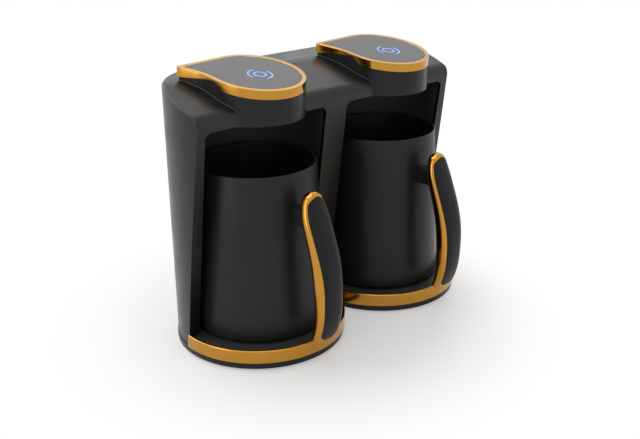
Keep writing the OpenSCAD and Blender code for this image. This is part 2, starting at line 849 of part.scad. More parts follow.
rings = 18;
cover_from = 1;
cover_deep = 2.2;
plate_t = 1.2;
stud_in = 0.5;
neck_front = bow(neck_z) - 3.5;

// Angle, on the section, where the dark cover's seat begins
seat_a = acos(pow(cover_share, 1 / 0.72));

function has_cover(i) = i > cover_from && i < rings - cover_from ? 1 : 0;

// A frame ring runs round the back from one edge of the seat to the other
function frame_ring(z, seat) =
  let (w = half_w(z), t = half_t(z), steps = 16, a0 = -seat_a, a1 = 180 + seat_a,
       edge = section(a0, w, t), deep = seat * cover_deep)
  concat([for (i = [0:steps]) let (q = section(a0 + (a1 - a0) * i / steps, w, t)) [q[0], q[1] - bow(z), z]],
    [[-edge[0] + 0.01, edge[1] + deep - bow(z) - 0.01, z], [edge[0] - 0.01, edge[1] + deep - bow(z) - 0.01, z]]);

function cover_ring(z) =
  let (w = half_w(z), t = half_t(z), steps = 8, edge = section(-seat_a, w, t), gap = slip)
  concat([for (i = [0:steps]) let (u = -1 + 2 * i / steps)
      [(edge[0] - gap) * u, edge[1] - 1.2 * ends(z) * (1 - u * u) - bow(z), z]],
    [[edge[0] - gap, edge[1] + cover_deep - gap - bow(z), z],
     [-edge[0] + gap, edge[1] + cover_deep - gap - bow(z), z]]);

// Bright frame of the handle, with a seat for the cover in front and a socket for the neck behind
module grip_frame() {
  color([0.83, 0.6, 0.22]) difference() {
    skin([for (i = [0:rings]) frame_ring(ring_z(i, rings), has_cover(i))]);
    translate([0, -bow(neck_z) - stud_in - 0.2, neck_z]) rotate([-90, 0, 0])
      cylinder(r = stud_r + 0.02, h = grip_t);
    translate([0, -neck_front - 0.05, neck_z]) rotate([-90, 0, 0])
      linear_extrude(grip_t) neck_section(0.05);
  }
}

module grip_cover() {
  color([0.05, 0.05, 0.055])
    skin([for (i = [cover_from + 1:rings - cover_from - 1]) cover_ring(ring_z(i, rings))]);
}

// Foot plate welded to the pot's side, and the stud that holds the handle
module handle_stud() {
  end = bow(neck_z) + stud_in;
  color([0.5, 0.5, 0.52]) difference() {
    union() {
      translate([-neck_w / 2 + 1, -pot_radius(neck_z) - plate_t, neck_z - neck_depth / 2 + 1])
        cube([neck_w - 2, plate_t + 2, neck_depth - 2]);
      translate([0, -end, neck_z]) rotate([-90, 0, 0])
        cylinder(r = stud_r, h = end - pot_radius(neck_z) + 1);
    }
    pot_outside();
  }
}

// The pot's side as one solid, for pieces that stand on it
module pot_outside() {
  foot = pot_z + foot_lift + pot_foot_round;
  translate([0, 0, foot]) cylinder(r1 = pot_foot_r, r2 = pot_rim_r, h = pot_rim_z - foot);
}

// Rounded outline of the neck, grown by a gap
module neck_section(grow) {
  w = neck_w + 2 * grow;
  d = neck_depth + 2 * grow;
  square([w - 4, d], center = true);
  square([w, d - 4], center = true);
  for (sx = [-1, 1], sz = [-1, 1]) translate([sx * (w / 2 - 2), sz * (d / 2 - 2)]) circle(2);
}

// Dark sleeve over the stud, between the pot and the handle
module handle_neck() {
  back = pot_radius(neck_z + neck_depth / 2) - eps;
  color([0.05, 0.05, 0.055]) difference() {
    translate([0, -back, neck_z]) rotate([90, 0, 0])
      linear_extrude(neck_front - back) neck_section(0);
    pot_outside();
    translate([-neck_w / 2 + 1 - 0.05, -pot_radius(neck_z) - plate_t, neck_z - neck_depth / 2 + 1])
      cube([neck_w - 2 + 0.1, plate_t + 3, neck_depth - 2]);
    translate([0, -neck_front - eps, neck_z]) rotate([-90, 0, 0])
      cylinder(r = stud_r + 0.02, h = neck_front);
  }
}

// --- Nodes --------------------------------------------------------------------------

casing();
base_tray();
feet();
base_screws();
cord_gland();
power_board();
relays();
supply_module();
at_station(-1) deck(-1);  // deck_left
at_station(1) deck(1);  // deck_right
at_station(-1) base_band(-1);  // base_band_left
at_station(1) base_band(1);  // base_band_right
at_station(-1) heating_plate();  // heating_plate_left
at_station(1) heating_plate();  // heating_plate_right
at_station(-1) plate_seal();  // plate_seal_left
at_station(1) plate_seal();  // plate_seal_right
at_station(-1) heating_element(-1);  // heating_element_left
at_station(1) heating_element(1);  // heating_element_right
at_station(-1) temperature_sensor();  // temperature_sensor_left
at_station(1) temperature_sensor();  // temperature_sensor_right
at_station(-1) thermal_fuse();  // thermal_fuse_left
at_station(1) thermal_fuse();  // thermal_fuse_right
at_station(-1) bay_liner(-1);  // bay_liner_left
at_station(1) bay_liner(1);  // bay_liner_right
at_station(-1) head_shell();  // head_shell_left
at_station(1) head_shell();  // head_shell_right
at_station(-1) head_cover();  // head_cover_left
at_station(1) head_cover();  // head_cover_right
at_station(-1) foam_sensor();  // foam_sensor_left
at_station(1) foam_sensor();  // foam_sensor_right
at_station(-1) head_rim();  // head_rim_left
at_station(1) head_rim();  // head_rim_right
at_station(-1) touch_glass();  // touch_glass_left
at_station(1) touch_glass();  // touch_glass_right
at_station(-1) touch_icon();  // touch_icon_left
at_station(1) touch_icon();  // touch_icon_right
at_station(-1) touch_board();  // touch_board_left
at_station(1) touch_board();  // touch_board_right
head_screws();
heater_loom(-1);  // heater_loom_left
heater_loom(1);  // heater_loom_right
head_loom(-1);  // head_loom_left
head_loom(1);  // head_loom_right
at_station(-1) pot_body();  // pot_body_left
at_station(1) pot_body();  // pot_body_right
at_station(-1) pot_disc();  // pot_disc_left
at_station(1) pot_disc();  // pot_disc_right
at_station(-1) handle_stud();  // handle_stud_left
at_station(1) handle_stud();  // handle_stud_right
at_station(-1) handle_neck();  // handle_neck_left
at_station(1) handle_neck();  // handle_neck_right
at_station(-1) grip_frame();  // grip_frame_left
at_station(1) grip_frame();  // grip_frame_right
at_station(-1) grip_cover();  // grip_cover_left
at_station(1) grip_cover();  // grip_cover_right
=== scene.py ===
# %% [markdown]
# # An electric Turkish coffee maker with two pots
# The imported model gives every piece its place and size. This notebook loads it as a fixed frame,
# dresses it with finer pieces, gives each piece its finish, and sets up a plain studio.
# The machine's lengths are typed in millimetres and turned into metres, in which Blender works. The
# camera, the finishes and the studio are typed in metres at once.

# %% Load the frame
import json
import math

import bmesh
import bpy
from mathutils import Matrix, Vector


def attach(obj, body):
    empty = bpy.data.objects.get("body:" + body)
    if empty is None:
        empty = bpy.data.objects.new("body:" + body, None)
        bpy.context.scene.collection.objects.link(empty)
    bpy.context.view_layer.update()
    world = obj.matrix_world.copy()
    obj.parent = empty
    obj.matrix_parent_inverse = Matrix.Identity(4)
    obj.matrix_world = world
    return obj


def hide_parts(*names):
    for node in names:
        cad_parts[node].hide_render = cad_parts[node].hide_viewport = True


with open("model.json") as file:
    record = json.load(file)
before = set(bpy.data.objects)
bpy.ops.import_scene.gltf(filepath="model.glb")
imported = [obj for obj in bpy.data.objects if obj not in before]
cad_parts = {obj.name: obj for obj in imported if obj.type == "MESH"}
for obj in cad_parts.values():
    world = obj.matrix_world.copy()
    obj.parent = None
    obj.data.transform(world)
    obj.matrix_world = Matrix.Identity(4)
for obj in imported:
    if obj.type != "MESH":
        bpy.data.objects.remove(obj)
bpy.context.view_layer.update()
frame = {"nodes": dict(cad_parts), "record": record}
MM = 0.001
print("pieces in the frame:", len(frame["nodes"]))

# %% [markdown]
# ## Places
# The machine has two equal stations, 125 mm apart. A new piece of a station is modelled at the left
# one, from its axis, and copied to the right one. Copying keeps both equal, as two mouldings from
# one tool are.

# %% Stations and shared heights
pitch = 125
station_y = 8.9
base_z = 5.5
band_top = 15
bay_top = 162
top_z = 188
face_foot = 6.6
panel_rise = 3.5
lean = math.radians(7.9)
fall = math.radians(18.5)
tilt = math.radians(10.4)


def at(x, y, z):
    """A point given from the left station's axis, in millimetres, as a place in metres."""
    return Vector((x - pitch / 2, y + station_y, z)) * MM


def face(z):
    """How far the leaning front face is behind the station axis at a height."""
    return face_foot - math.tan(lean) * z


def panel(y, depth=0.0):
    """Height of the tilted touch panel at a distance behind the station axis, less a depth."""
    return top_z + panel_rise + math.tan(tilt) * y - depth / math.cos(tilt)


print("front face at the base and at the ceiling:", round(face(base_z), 2), round(face(bay_top), 2))

# %% [markdown]
# ## Camera
# The camera stands in front of the machine, to its left and a little above it. Its turn is written
# as a matrix, because the view also has a hair of roll. It comes first, so that every piece can
# be checked in the view that matters most.

# %% Camera
eye = Vector((-0.42155, -0.44654, 0.31213))
aim = Vector((0.0, 0.0089, 0.07079))
back = (eye - aim).normalized()
right = Vector((0.0, 0.0, 1.0)).cross(back).normalized()
up = back.cross(right)
roll = math.radians(-0.252)
cam_x = right * math.cos(roll) + up * math.sin(roll)
cam_y = up * math.cos(roll) - right * math.sin(roll)

lens = bpy.data.cameras.new("camera")
lens.sensor_fit = "HORIZONTAL"
lens.sensor_width = 36
lens.lens = 49.09
lens.shift_x = -0.0040
lens.shift_y = -0.0021
lens.clip_start = 0.01
lens.clip_end = 20
camera = bpy.data.objects.new("camera", lens)
bpy.context.scene.collection.objects.link(camera)
camera.matrix_world = Matrix.Translation(eye) @ Matrix((cam_x, cam_y, back)).transposed().to_4x4()
bpy.context.scene.camera = camera
print("camera distance:", round((eye - aim).length, 3), "m")

# %% [markdown]
# ## Tools for modelling
# Most pieces grow in the same way: add a circle, extrude it ring by ring, and lay each new ring on
# its own outline. The helpers below do that, pick edges by their place, and cut.


# %% Helpers for selecting and changing
def clear():
    """Leave edit mode and select nothing."""
    if bpy.context.object and bpy.context.object.mode == "EDIT":
        bpy.ops.object.mode_set(mode="OBJECT")
    bpy.ops.object.select_all(action="DESELECT")


def hold(piece):
    """Make one piece active and the only one selected."""
    clear()
    piece.select_set(True)
    bpy.context.view_layer.objects.active = piece


def edit(piece):
    """Open a piece in edit mode with nothing selected."""
    hold(piece)
    bpy.ops.object.mode_set(mode="EDIT")
    bpy.ops.mesh.select_all(action="DESELECT")


def pick_edges(piece, test):
    """Select the edges that pass a test, and count them."""
    bpy.ops.mesh.select_mode(type="EDGE")
    bpy.ops.mesh.select_all(action="DESELECT")
    mesh = bmesh.from_edit_mesh(piece.data)
    count = 0
    for edge in mesh.edges:
        if test(edge):
            edge.select_set(True)
            count += 1
    mesh.select_flush_mode()
    bmesh.update_edit_mesh(piece.data)
    return count


def modify(piece, kind, **settings):
    """Add a modifier, set it up and apply it."""
    hold(piece)
    added = piece.modifiers.new(kind.lower(), kind)
    for key, value in settings.items():
        setattr(added, key, value)
    bpy.ops.object.modifier_apply(modifier=added.name)


def cut(piece, tool, how="DIFFERENCE"):
    """Cut a piece with another one, or keep what they share, and put the tool away."""
    modify(piece, "BOOLEAN", object=tool, operation=how, solver="MANIFOLD")
    bpy.data.objects.remove(tool)


# %% Grow a skin from rings
start_r, same_place = 0.03, 1e-7


def loft(name, rings, closed=False):
    """Add a circle, extrude it ring by ring, lay each ring on its outline, and cap or close it."""
    clear()
    bpy.ops.mesh.primitive_circle_add(vertices=len(rings[0]), radius=start_r)
    piece = bpy.context.object
    piece.name = piece.data.name = name
    bpy.ops.object.mode_set(mode="EDIT")
    bpy.ops.mesh.select_mode(type="VERT")
    bpy.ops.mesh.select_all(action="SELECT")
    mesh = bmesh.from_edit_mesh(piece.data)
    for vertex, place in zip(mesh.verts, rings[0]):
        vertex.co = place
    order = list(range(len(rings[0])))
    if not closed:
        bpy.ops.mesh.edge_face_add()
        bpy.ops.mesh.select_all(action="SELECT")
    for ring in rings[1:]:
        bpy.ops.mesh.extrude_edges_move()
        mesh = bmesh.from_edit_mesh(piece.data)
        mesh.verts.ensure_lookup_table()
        grown = [next(e.other_vert(mesh.verts[i]) for e in mesh.verts[i].link_edges
                      if e.other_vert(mesh.verts[i]).select) for i in order]
        for vertex, place in zip(grown, ring):
            vertex.co = place
        mesh.verts.index_update()
        order = [vertex.index for vertex in grown]
    if closed:
        pick_edges(piece, lambda e: len(e.link_faces) == 1)
        bpy.ops.mesh.bridge_edge_loops()
    else:
        bpy.ops.mesh.edge_face_add()
    bpy.ops.mesh.select_all(action="SELECT")
    bpy.ops.mesh.remove_doubles(threshold=same_place)
    bpy.ops.mesh.normals_make_consistent(inside=False)
    bpy.ops.object.mode_set(mode="OBJECT")
    return piece


# %% [markdown]
# ## Finishes
# A real surface is never one flat colour. A ready-made texture could be wrapped round a piece, but
# it would stretch and show its seams. Each finish below starts from one colour and one roughness
# and adds what a mould, a coating or a hand leaves: a fine grain as bump, slow changes of gloss, and
# edges that are rubbed a little smoother. All patterns sit in object space, so they stay in place.

# %% A maker of finishes
noise_low, noise_high = 0.3, 0.7
flat_spot, sharp_edge = 0.52, 0.62


def add_node(tree, kind, **inputs):
    """Add a shader node and set its inputs, with _ for each space in their names."""
    made = tree.nodes.new("ShaderNode" + kind)
    for name, value in inputs.items():
        made.inputs[name.replace("_", " ")].default_value = value
    return made


def finish(name, colour, gloss, metal=0.0, grain=(1800, 0.00002), mottle=(60, 0.05), tint=0.12,
           specular=0.5, rub=0.0):
    """Build one finish: grain is (scale, depth), mottle is (scale, change of roughness)."""
    made = bpy.data.materials.new(name)
    made.use_nodes = True
    made.diffuse_color = (*colour, 1)
    tree, join = made.node_tree, made.node_tree.links.new
    shader = tree.nodes["Principled BSDF"]
    shader.inputs["Metallic"].default_value = metal
    shader.inputs["Specular IOR Level"].default_value = specular
    places = add_node(tree, "TexCoord")
    slow = add_node(tree, "TexNoise", Scale=mottle[0], Detail=4)
    fine = add_node(tree, "TexNoise", Scale=grain[0], Detail=2)
    for noise in (slow, fine):
        join(places.outputs["Object"], noise.inputs["Vector"])

    shade = add_node(tree, "Mix")
    shade.data_type = "RGBA"
    shade.inputs[6].default_value = (*[c * (1 - tint) for c in colour], 1)
    shade.inputs[7].default_value = (*[min(1, c * (1 + tint)) for c in colour], 1)
    join(slow.outputs["Fac"], shade.inputs[0])
    join(shade.outputs[2], shader.inputs["Base Color"])

    rough = add_node(tree, "MapRange", From_Min=noise_low, From_Max=noise_high,
                     To_Min=gloss - mottle[1], To_Max=gloss + mottle[1])
    join(slow.outputs["Fac"], rough.inputs["Value"])
    last = rough.outputs[0]
    if rub:
        shape = add_node(tree, "NewGeometry")
        edges = add_node(tree, "MapRange", From_Min=flat_spot, From_Max=sharp_edge, To_Min=0.0, To_Max=rub)
        join(shape.outputs["Pointiness"], edges.inputs["Value"])
        worn = add_node(tree, "Math")
        worn.operation = "SUBTRACT"
        worn.use_clamp = True
        join(last, worn.inputs[0])
        join(edges.outputs[0], worn.inputs[1])
        last = worn.outputs[0]
    join(last, shader.inputs["Roughness"])

    bump = add_node(tree, "Bump", Strength=0.5, Distance=grain[1])
    join(fine.outputs["Fac"], bump.inputs["Height"])
    join(bump.outputs["Normal"], shader.inputs["Normal"])
    return made


def dress(piece, material):
    """Give a piece its finish."""
    if not piece.data.materials:
        piece.data.materials.append(material)
    for spot in piece.material_slots:
        spot.material = material


# %% Black plastics, rubber and the pot's coating
satin_black = finish("satin_black_plastic", (0.0115, 0.0115, 0.0115), 0.33, grain=(2200, 0.00003),
                     rub=0.08, specular=0.24)
casing_black = finish("casing_black_plastic", (0.006, 0.006, 0.006), 0.34, grain=(2200, 0.00003),
                      rub=0.08, specular=0.38)
coat_black = finish("black_pot_coating", (0.013, 0.013, 0.013), 0.36, grain=(3200, 0.00003),
                    rub=0.08, specular=0.24)
grip_black = finish("satin_black_grip", (0.008, 0.008, 0.008), 0.40, grain=(2200, 0.00003),
                    rub=0.08, specular=0.2)
liner_black = finish("bay_liner_black", (0.03, 0.03, 0.03), 0.5, grain=(1500, 0.00005))
matt_rubber = finish("black_rubber_matt", (0.012, 0.012, 0.012), 0.7, grain=(900, 0.00006))
print("dark finishes made:", len(bpy.data.materials))

# %% Lacquered gold and smoked glass
gold = finish("polished_gold_plate", (0.49, 0.235, 0.024), 0.15, metal=1.0, grain=(1500, 0.000003),
              mottle=(90, 0.03), tint=0.05)
lacquer = gold.node_tree.nodes["Principled BSDF"]
lacquer.inputs["Coat Weight"].default_value = 0.35
lacquer.inputs["Coat Roughness"].default_value = 0.12
panel_glass = finish("smoked_panel_glass", (0.024, 0.025, 0.027), 0.22, grain=(500, 0.000002),
                     mottle=(40, 0.03))
print("lacquer over the gold:", round(lacquer.inputs["Coat Weight"].default_value, 2))

# %% Finishes of the inner pieces
steel = finish("brushed_plain_steel", (0.5, 0.5, 0.51), 0.3, metal=1.0, grain=(1200, 0.00001))
dark_steel = finish("heater_tube_steel", (0.2, 0.2, 0.21), 0.45, metal=1.0, grain=(900, 0.00003))
board_green = finish("circuit_board_green", (0.02, 0.13, 0.05), 0.45, grain=(700, 0.00003),
                     mottle=(200, 0.1))
relay_blue = finish("relay_blue_plastic", (0.03, 0.08, 0.35), 0.3, grain=(900, 0.00001))
module_grey = finish("module_grey_plastic", (0.035, 0.035, 0.038), 0.5, grain=(1200, 0.00005))
dull_brass = finish("sensor_dull_brass", (0.5, 0.36, 0.16), 0.35, metal=1.0, grain=(900, 0.00001))
ceramic = finish("fuse_pale_ceramic", (0.72, 0.69, 0.6), 0.45, grain=(800, 0.00003))
red_sleeve = finish("woven_red_sleeve", (0.35, 0.03, 0.025), 0.65, grain=(1500, 0.0001))
grey_sleeve = finish("woven_grey_sleeve", (0.12, 0.12, 0.13), 0.65, grain=(1500, 0.0001))
print("finishes made:", len(bpy.data.materials))

# %% [markdown]
# ## The lit touch mark
# The ring and its two arcs glow through the glass. A lamp behind a mask would do it too, but light as
# its own finish is plainer: a soft blue emission over a blue diffuser, weak enough to keep its colour.

# %% Finish of the touch mark
mark_blue = finish("lit_touch_mark", (0.10, 0.30, 0.75), 0.3, grain=(800, 0.000002))
glow = mark_blue.node_tree.nodes["Principled BSDF"]
glow.inputs["Emission Color"].default_value = (0.13, 0.38, 0.95, 1)
glow.inputs["Emission Strength"].default_value = 0.9
print("glow strength:", round(glow.inputs["Emission Strength"].default_value, 2))

# %% [markdown]
# ## Finishes for the pieces that stay as they are
# Inner pieces such as boards, wires and screws already have the right shape in the frame. They only
# need a finish, which is chosen by the material slot that each piece has.

# %% Dress the frame's own pieces
by_slot = {
    "black_plastic": satin_black, "black_rubber": matt_rubber, "polished_gold": gold,
    "smoked_glass": panel_glass, "blue_light": mark_blue, "plain_steel": steel,
    "dark_steel": dark_steel, "black_coated_steel": coat_black, "green_board": board_green,
    "blue_plastic": relay_blue, "dark_plastic": module_grey, "sensor_brass": dull_brass,
    "pale_ceramic": ceramic, "red_sleeve": red_sleeve, "grey_sleeve": grey_sleeve,
}
for row in frame["record"]["subparts"]:
    dress(frame["nodes"][row["node"]], by_slot[row["material_slot"]])

# %% [markdown]
# ## Pots
# The real pot is drawn from steel sheet and coated black. It narrows upwards, its foot is rolled, and
# its lip is turned over so that it feels round. It could be a spun profile, but growing it from one
# circle keeps every ring in reach: extrude, scale, and then bevel the rings that have to be round.

# %% Rings that can be rounded
station = Vector((-pitch / 2, station_y, 0)) * MM
on_the_ring = 2e-5


def circle(radius, z, count=144):
    """A ring of points round the left station's axis."""
    return [at(radius * math.cos(2 * math.pi * i / count), radius * math.sin(2 * math.pi * i / count), z)
            for i in range(count)]


def round_ring(piece, radius, z, width, segments):
    """Round the edge ring that has a radius and a height, round the left station's axis."""
    edit(piece)

    def on_ring(edge):
        return all(abs(v.co.z - z * MM) < on_the_ring
                   and abs((v.co.xy - station.xy).length - radius * MM) < on_the_ring for v in edge.verts)

    pick_edges(piece, on_ring)
    bpy.ops.mesh.bevel(offset=width * MM, offset_type="OFFSET", segments=segments, profile=0.5,
                       clamp_overlap=False)
    bpy.ops.object.mode_set(mode="OBJECT")


# %% Handing a piece over
crease = math.radians(35)


def smooth(piece, flats):
    """Shade a piece smoothly, apart from its sharp edges, and keep its large faces flat."""
    hold(piece)
    bpy.ops.object.shade_smooth_by_angle(angle=crease)
    if flats:
        modify(piece, "WEIGHTED_NORMAL", mode="FACE_AREA", weight=50, keep_sharp=True)


def settle(piece, material, body, node, flats=True):
    """Finish a piece: its material, the body that carries it, and the node that it stands for."""
    smooth(piece, flats)
    dress(piece, material)
    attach(piece, body)
    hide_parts(node)


def twin(piece, name):
    """Copy a left piece to the right station, with its own mesh."""
    hold(piece)
    bpy.ops.object.duplicate(linked=False)
    copy = bpy.context.object
    copy.name = copy.data.name = name
    copy.location = (pitch * MM, 0, 0)
    bpy.ops.object.transform_apply(location=True, rotation=False, scale=False)
    return copy


def both(piece, material, body, node, flats=True):
    """Settle a left piece and its twin on the right. A {} in the body's name takes the side."""
    copy = twin(piece, piece.name.replace("left", "right"))
    for made, side in ((piece, "left"), (copy, "right")):
        settle(made, material, body.format(side), f"{node}_{side}", flats)
    print(piece.name, "and its twin:", len(piece.data.polygons), "faces each")


# %% Pot
foot_z, rim_z = 13.2, 131.3
foot_r, rim_r, wall = 48.4, 42.1, 1.4
seat_r, seat_z, floor_z = 44.8, 15.2, 16.6
foot_roll, inner_roll, lip_roll = 3.1, 3.0, 0.62
pot = loft("left_pot", [
    circle(seat_r, seat_z), circle(seat_r, foot_z), circle(foot_r, foot_z), circle(rim_r, rim_z),
    circle(rim_r - wall, rim_z), circle(foot_r - wall, floor_z)])
round_ring(pot, foot_r, foot_z, foot_roll, segments=8)
round_ring(pot, foot_r - wall, floor_z, inner_roll, segments=6)
round_ring(pot, rim_r, rim_z, lip_roll, segments=4)
round_ring(pot, rim_r - wall, rim_z, lip_roll, segments=4)
both(pot, coat_black, "pot_{}", "pot_body", flats=False)

# %% [markdown]
# ## Pot handles
# The handle is a bowed bar: a bright frame that shows at its back, sides and ends, and a dark cover
# let into its front. A bar could be bent along a curve, but its width, thickness and bow all change
# at their own rates. So both are lofts through the same sections, and the cover always fits its
# seat. The section is a squared oval, which sits better in a hand than a round bar.

# %% Sections of the handle
low_z, high_z, belly = 17.3, 122.2, 45.9
reach, top_lean, low_lean = 73.2, 15.5, 6
top_curl, low_curl = 1.4, 2.4
half_width, half_thick = 10.8, 7.0
low_share, full_from, end_wide, end_thick = 0.92, 0.4, 0.4, 0.6
square_back, square_front = 0.72, 0.80
end_round, thinnest = 3.5, 0.05
narrow_from, narrow_over = 0.79, 0.23


def bow(z):
    """How far in front of the axis the handle's middle line is at a height."""
    if z > belly:
        return reach - top_lean * (1 - math.cos(math.pi * ((z - belly) / (high_z - belly)) ** top_curl)) / 2
    return reach - low_lean * ((belly - z) / (belly - low_z)) ** low_curl


def ends(z):
    """How full the section is: 1 along the bar, less where its ends are rounded over."""
    def over(d):
        return math.sqrt(max(0.0, 1 - (1 - min(1.0, d / end_round)) ** 2))
    return max(thinnest, over(high_z - z) * over(z - low_z))


def grow(low, t):
    """Go from a share to 1 as t goes from 0 to 1."""
    return low + (1 - low) * t


def bar_size(z):
    """Half of the section's width and half of its thickness at a height."""
    along = (z - low_z) / (high_z - low_z)
    taper = math.sqrt(1 - (max(0.0, along - narrow_from) / narrow_over) ** 2)
    wide = half_width * grow(low_share, min(1, along / full_from)) * grow(end_wide, ends(z)) * taper
    thick = half_thick * grow(end_thick, math.sin(math.pi * along)) * ends(z)
    return wide, thick


def section(angle, wide, thick):
    """A point of the squared oval at an angle from +X, in radians."""
    c, s = math.cos(angle), math.sin(angle)
    power = square_back if s > 0 else square_front
    return (wide * math.copysign(abs(c) ** power, c), thick * math.copysign(abs(s) ** power, s))


print("handle length:", round(high_z - low_z, 1), "mm")


# %% Even spacing
tiny = 1e-9


def even(points, count):
    """Space points evenly along a line through a list of points."""
    run = [0.0]
    for a, b in zip(points, points[1:]):
        run.append(run[-1] + math.dist(a, b))
    out, j = [], 0
    for i in range(count):
        want = run[-1] * i / (count - 1)
        while j < len(run) - 2 and run[j + 1] < want:
            j += 1
        k = (want - run[j]) / max(tiny, run[j + 1] - run[j])
        out.append(tuple(a + (b - a) * k for a, b in zip(points[j], points[j + 1])))
    return out


def arc(start, sweep, size, fine, count):
    """Even points of the section from a start angle through a sweep, found among finer points."""
    return even([section(start + sweep * i / fine, *size) for i in range(fine + 1)], count)


def heights(count, low=low_z, high=high_z):
    """Heights of the rings, closer together towards both ends."""
    return [low + (high - low) * (1 - math.cos(math.pi * i / count)) / 2 for i in range(count + 1)]


def ease(t):
    """Go smoothly from 0 to 1 as t does, and stay there outside that range."""
    t = max(0.0, min(1.0, t))
    return t * t * (3 - 2 * t)


print("heights of a bar in four steps:", [round(z, 1) for z in heights(4)])

# %% Seat of the cover
cover_low, cover_high, deep = 19.6, 120.0, 2.2
cover_share, top_share = 0.76, 0.87
widen_from, widen_over = 50, 42
cover_end, seat_end, least_half = 5.5, 0.3, 0.02


def seat(z):
    """Half width of the cover's seat and its depth: wide at the top, with round ends."""
    d = min(z - cover_low, cover_high - z)
    if d <= 0:
        return least_half, 0.0
    share = cover_share + (top_share - cover_share) * ease((z - widen_from) / widen_over)
    round_end = math.sqrt(1 - (1 - min(1.0, d / cover_end)) ** 2)
    return share * bar_size(z)[0] * round_end, deep * min(1.0, d / seat_end)


def front_of(z, half):
    """Where the section's front is at a distance from its middle, and the angle there."""
    wide, thick = bar_size(z)
    angle = math.acos(min(1.0, half / wide) ** (1 / square_front))
    return section(-angle, wide, thick)[1], angle


print("seat at half height:", [round(s, 2) for s in seat((cover_low + cover_high) / 2)], "mm")

# %% Bright frame of the handle
back_points, back_fine, frame_steps = 57, 400, 60
seat_edge = ((0.06, 0.1, 0.0), (0.12, 0.2, 0.06), (0.14, 0.25, deep))
near_ends = (0, 0.1, 0.3, 0.8)


def frame_ring(z):
    """Round the back from one edge of the seat to the other, then across the seat."""
    half, depth = seat(z)
    edge_y, angle = front_of(z, half)
    outside = arc(-angle, math.pi + 2 * angle, bar_size(z), back_fine, back_points)
    lip = [(half - min(inwards, half * share), edge_y + min(down, depth))
           for inwards, share, down in seat_edge]
    ring = outside + [(-x, y) for x, y in lip] + lip[::-1]
    return [at(x, y - bow(z), z) for x, y in ring]


frame_heights = sorted(heights(frame_steps) + [cover_low + d for d in near_ends]
                       + [cover_high - d for d in near_ends])
bar = loft("left_handle_frame", [frame_ring(z) for z in frame_heights])
both(bar, gold, "pot_{}", "grip_frame", flats=False)

# %% Dark cover in the handle's front
front_points, front_fine, cover_steps = 37, 200, 56
cover_gap, end_gap, first_ring = 0.2, 0.35, 0.15
tuck, side_gap, edge_rise, floor_gap = 0.1, 0.3, 0.05, 0.15
search_step, search_end = 0.002, 1.5


def cover_ring(z):
    """Across the front of the section, past the edge with a gap, and back inside."""
    half = seat(z)[0]
    edge_y, start = front_of(z, half)
    while math.dist(section(-start, *bar_size(z)), (half, edge_y)) < cover_gap and start < search_end:
        start += search_step
    front = arc(-start, 2 * start - math.pi, bar_size(z), front_fine, front_points)
    inner_x = max(least_half, min(front[0][0] - tuck, half - side_gap))
    edge = edge_y - edge_rise
    inside = edge_y + deep - floor_gap
    back_edge = [(-inner_x, edge), (-inner_x, inside), (inner_x, inside), (inner_x, edge)]
    return [at(x, y - bow(z), z) for x, y in front + back_edge]


lowest_ring, highest_ring = cover_low + end_gap, cover_high - end_gap
cover_heights = sorted(heights(cover_steps, lowest_ring, highest_ring)
                       + [lowest_ring + first_ring, highest_ring - first_ring])
cover = loft("left_handle_cover", [cover_ring(z) for z in cover_heights])
both(cover, grip_black, "pot_{}", "grip_cover", flats=False)

# %% [markdown]
# ## Drop-shaped heads
# Each head is a drop: a circle with two tangents that meet at a tip, which points back to the left.
# Its left flank is drawn in a little, so that the outline swings like a comma.
# The shell, the bright rim and the glass all use the same drop at different sizes, so their gaps
# stay even all round. The top is one tilted plane, and the rim's skirt is deep in front and steps up
# behind, which is why each ring is laid on a height that depends on how far back it is.

# %% The drop outline
head_r, head_x, head_y = 34, 3, 1
tip_reach, tip_round = 53, 1.5
tip_turn = math.radians(145)
tip_open = math.acos(head_r / tip_reach)
flank_in, flank_long = 2.5, math.sqrt(tip_reach ** 2 - head_r ** 2)
flank_from, flank_over = 18, 8
round_steps, nose_steps, flank_steps = 108, 8, 20


def sway(x, y):
    """Draw in a point that is near the left flank, given from the middle of the head."""
    nx, ny = math.cos(tip_turn + tip_open), math.sin(tip_turn + tip_open)
    along = max(0.0, min(1.0, (x * ny - y * nx) / flank_long))
    near = ease((x * nx + y * ny - flank_from) / flank_over)
    move = flank_in * math.sin(math.pi * along) ** 2 * near
    return x - nx * move, y - ny * move


def drop(radius, height):
    """A ring of points round the drop of a radius, each at the height for its place."""
    def spot(distance, angle, x=0.0, y=0.0):
        return (x + distance * math.cos(angle), y + distance * math.sin(angle))

    apex = tip_reach * radius / head_r
    inner = apex - tip_round / math.sin(math.pi / 2 - tip_open)
    cx, cy = spot(inner, tip_turn)
    start, sweep = tip_turn + tip_open, 2 * (math.pi - tip_open)
    ring = [spot(radius, start + sweep * i / round_steps) for i in range(round_steps + 1)]
    nose = [spot(tip_round, tip_turn - tip_open + 2 * tip_open * i / nose_steps, cx, cy)
            for i in range(nose_steps + 1)]
    for a, b, points in ((ring[-1], nose[0], nose), (nose[-1], ring[0], [])):
        ring += [(a[0] + (b[0] - a[0]) * i / flank_steps, a[1] + (b[1] - a[1]) * i / flank_steps)
                 for i in range(1, flank_steps)]
        ring += points
    ring = [sway(x, y) for x, y in ring]
    return [at(x + head_x, y + head_y, height(y + head_y)) for x, y in ring]


print("length of the left flank:", round(flank_long, 1), "mm")

# %% Heights for the rings
skirt_deep, step_up = 6, 2.1
step_from, step_over = -7.6, 10.8


def under(depth):
    """Heights of a surface at a depth below the panel."""
    return lambda y: panel(y, depth)


def level(z):
    """Heights of a flat surface."""
    return lambda y: z


def skirt(y):
    """Lower edge of the rim's skirt: deep in front, then a smooth step up above the flat top."""
    s = ease((y - step_from) / step_over)
    return (1 - s) * panel(y, skirt_deep) + s * (top_z + step_up)


print("points round the drop:", len(drop(head_r, skirt)))

